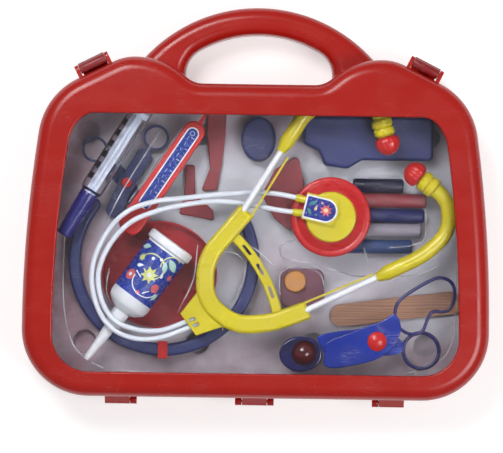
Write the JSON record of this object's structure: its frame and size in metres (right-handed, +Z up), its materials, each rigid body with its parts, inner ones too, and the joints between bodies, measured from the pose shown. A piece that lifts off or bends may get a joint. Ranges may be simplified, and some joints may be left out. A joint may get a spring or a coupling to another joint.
{
  "type": "toy doctor case",
  "caption": "Hinged toy carrying case with a moulded handle, a windowed lid with side latches, a formed liner and a set of play medical tools inside.",
  "frame": {"origin": "middle of the underside of the case, which lies on its back", "axes": "+X to the right, +Y towards the handle, +Z up out of the window"},
  "size_m": [0.3192, 0.2734, 0.056],
  "materials": {
    "case_red": "moulded, semi-gloss, slight orange-peel",
    "latch_crimson": "moulded, semi-gloss",
    "window_clear": "clear, polished",
    "steel": "plain drawn wire",
    "liner_lilac": "vacuum-formed, satin",
    "film_milky": "vacuum-formed, cloudy",
    "white_plastic": "moulded, semi-gloss",
    "wrap_label": "printed wrap label",
    "dish_mauve": "moulded, satin",
    "thermo_red": "moulded, semi-gloss",
    "print_blue": "printed paper label",
    "nose_navy": "moulded, glossy",
    "clear_plastic": "clear, polished",
    "mark_black": "pad-printed",
    "steth_yellow": "moulded, semi-gloss",
    "soft_red": "moulded, glossy",
    "bell_red": "moulded, semi-gloss",
    "diaphragm_white": "thin sheet",
    "sticker_navy": "printed sticker",
    "hose_white": "soft vinyl, satin",
    "blade_blue": "moulded, semi-gloss",
    "rivet_red": "moulded, glossy",
    "tool_slate": "moulded, satin",
    "dusty_rose": "moulded, satin",
    "vial_navy": "moulded, satin",
    "vial_indigo": "moulded, satin",
    "vial_grey": "moulded, satin",
    "vial_slate": "moulded, satin",
    "pill_amber": "moulded, semi-gloss",
    "stick_tan": "moulded with a faint grain"
  },
  "bodies": {
    "base": {"arm_rod_lower": "white_plastic", "arm_rod_upper": "white_plastic", "base_shell": "case_red", "bottle_base": "white_plastic", "bottle_body": "white_plastic", "bottle_label": "wrap_label", "bottle_nozzle": "white_plastic", "chestpiece_bell": "bell_red", "chestpiece_cap": "steth_yellow", "chestpiece_diaphragm": "diaphragm_white", "chestpiece_label": "sticker_navy", "clear_blister": "film_milky", "ear_tip_lower": "soft_red", "ear_tip_upper": "soft_red", "ear_tube_lower": "steth_yellow", "ear_tube_upper": "steth_yellow", "forceps_lower": "tool_slate", "forceps_rivet": "rivet_red", "hammer_handle": "dusty_rose", "hammer_head": "dusty_rose", "headband": "tool_slate", "headband_clip": "rivet_red", "hinge_pins": "steel", "inner_tray": "liner_lilac", "kidney_dish": "dish_mauve", "mirror_cup": "nose_navy", "mirror_dome": "soft_red", "otoscope_body": "tool_slate", "otoscope_cup": "tool_slate", "pill_dish": "dish_mauve", "pill_tablet": "pill_amber", "probe": "dusty_rose", "scissors_lower": "blade_blue", "scissors_rivet": "rivet_red", "steth_headset": "steth_yellow", "steth_hose_inner": "hose_white", "steth_hose_outer": "hose_white", "syringe_barrel": "clear_plastic", "syringe_nose": "nose_navy", "syringe_scale": "mark_black", "thermometer_body": "thermo_red", "thermometer_label": "print_blue", "tongue_depressor": "stick_tan", "tweezers": "dusty_rose", "vial_grey": "vial_grey", "vial_indigo": "vial_indigo", "vial_navy": "vial_navy", "vial_slate": "vial_slate"},
    "lid": {"lid_frame": "case_red", "window_sheet": "window_clear", "latch_pins": "steel"},
    "latch_left": {"latch_left": "latch_crimson"},
    "latch_right": {"latch_right": "latch_crimson"},
    "plunger": {"syringe_plunger": "white_plastic"},
    "scissors_top": {"scissors_upper": "blade_blue"},
    "forceps_top": {"forceps_upper": "tool_slate"}
  },
  "joints": [
    {"name": "lid_hinge", "type": "hinge", "parent": "base", "child": "lid", "pos_m": [0, -0.1339, 0.034], "axis": [1, 0, 0], "range_deg": [0, 180]},
    {"name": "latch_left_pivot", "type": "hinge", "parent": "lid", "child": "latch_left", "pos_m": [-0.1139, 0.09588, 0.046], "axis": [0.8949, 0.4462, 0], "range_deg": [0, 100]},
    {"name": "latch_right_pivot", "type": "hinge", "parent": "lid", "child": "latch_right", "pos_m": [0.1139, 0.09588, 0.046], "axis": [0.8949, -0.4462, 0], "range_deg": [0, 100]},
    {"name": "plunger_slide", "type": "slide", "parent": "base", "child": "plunger", "axis": [-0.5199, -0.8542, 0], "range_m": [0, 0.01]},
    {"name": "scissors_pivot", "type": "hinge", "parent": "base", "child": "scissors_top", "pos_m": [0.0837, -0.0916, 0.03], "axis": [0, 0, 1], "range_deg": [0, 8]},
    {"name": "forceps_pivot", "type": "hinge", "parent": "base", "child": "forceps_top", "pos_m": [-0.0904, 0.015, 0.014], "axis": [0, 0, -1], "range_deg": [0, 8]}
  ]
}
